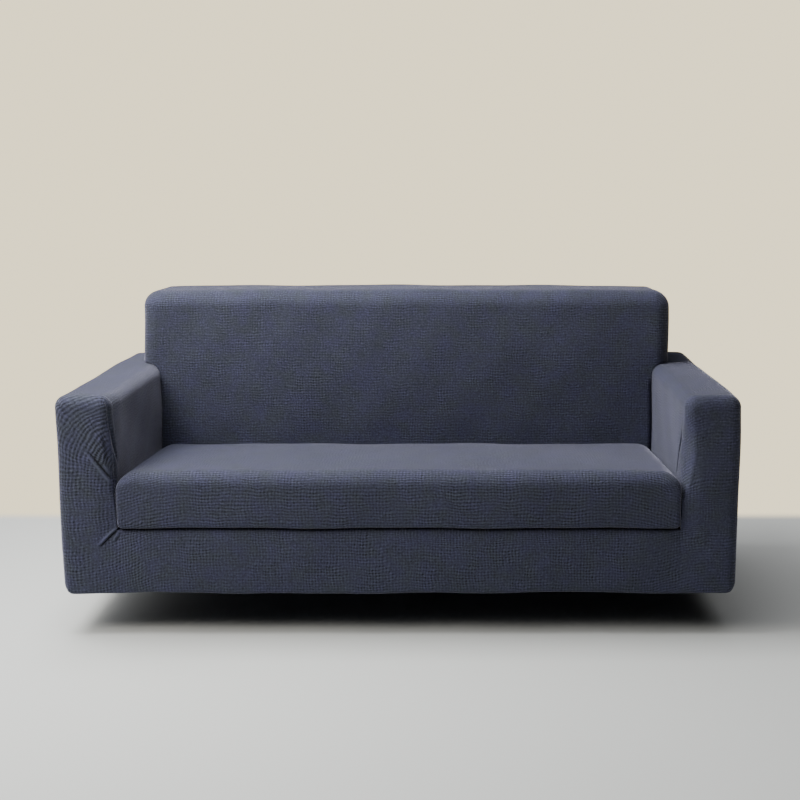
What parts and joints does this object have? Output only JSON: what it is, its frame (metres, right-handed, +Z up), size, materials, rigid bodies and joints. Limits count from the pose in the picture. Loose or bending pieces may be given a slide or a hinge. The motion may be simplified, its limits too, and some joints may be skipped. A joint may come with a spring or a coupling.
{
  "type": "sofa slipcover",
  "caption": "Fitted stretch-knit slipcover for a small sofa with box arms; hollow and open below, with a turned hem and a tucked seat cover.",
  "frame": {"origin": "middle of the top of the backrest, on the underside of the cloth, where the sofa's top carries it", "axes": "+X to the right of someone who faces the sofa, -Y to the front, +Z up"},
  "size_m": [1.8, 0.8832, 0.7574],
  "materials": {
    "knit": "matte stretch jacquard knit"
  },
  "bodies": {
    "root": {"front_panel": "knit", "seat_panel": "knit", "inside_back": "knit", "outside_back": "knit", "arm_left": "knit", "arm_right": "knit"}
  },
  "joints": []
}
